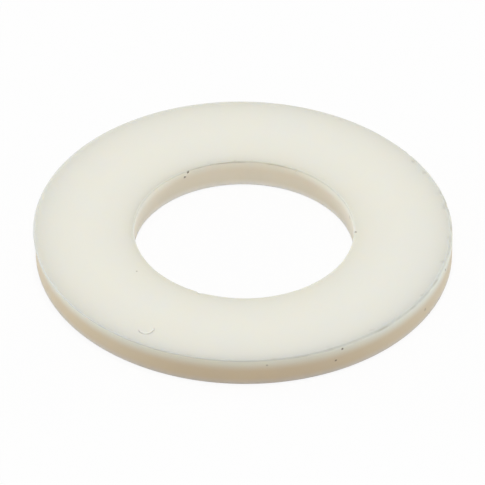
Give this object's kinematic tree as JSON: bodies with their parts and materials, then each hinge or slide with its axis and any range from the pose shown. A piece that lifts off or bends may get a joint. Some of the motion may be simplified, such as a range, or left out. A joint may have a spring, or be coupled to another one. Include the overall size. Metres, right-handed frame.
{
  "type": "flat washer",
  "caption": "Thin plain ring of natural translucent nylon that spreads a bolt's clamping load.",
  "frame": {"origin": "on the hole's axis, in the plane of the underside that the washer lies on", "axes": "+Z along the hole's axis, out of the top face, whose edges are rounded; X and Y are any two directions in the plane of the ring"},
  "size_m": [0.02, 0.02, 0.0015],
  "materials": {
    "nylon": "as moulded, natural off-white, slightly translucent, soft satin"
  },
  "bodies": {
    "root": {"washer": "nylon"}
  },
  "joints": []
}
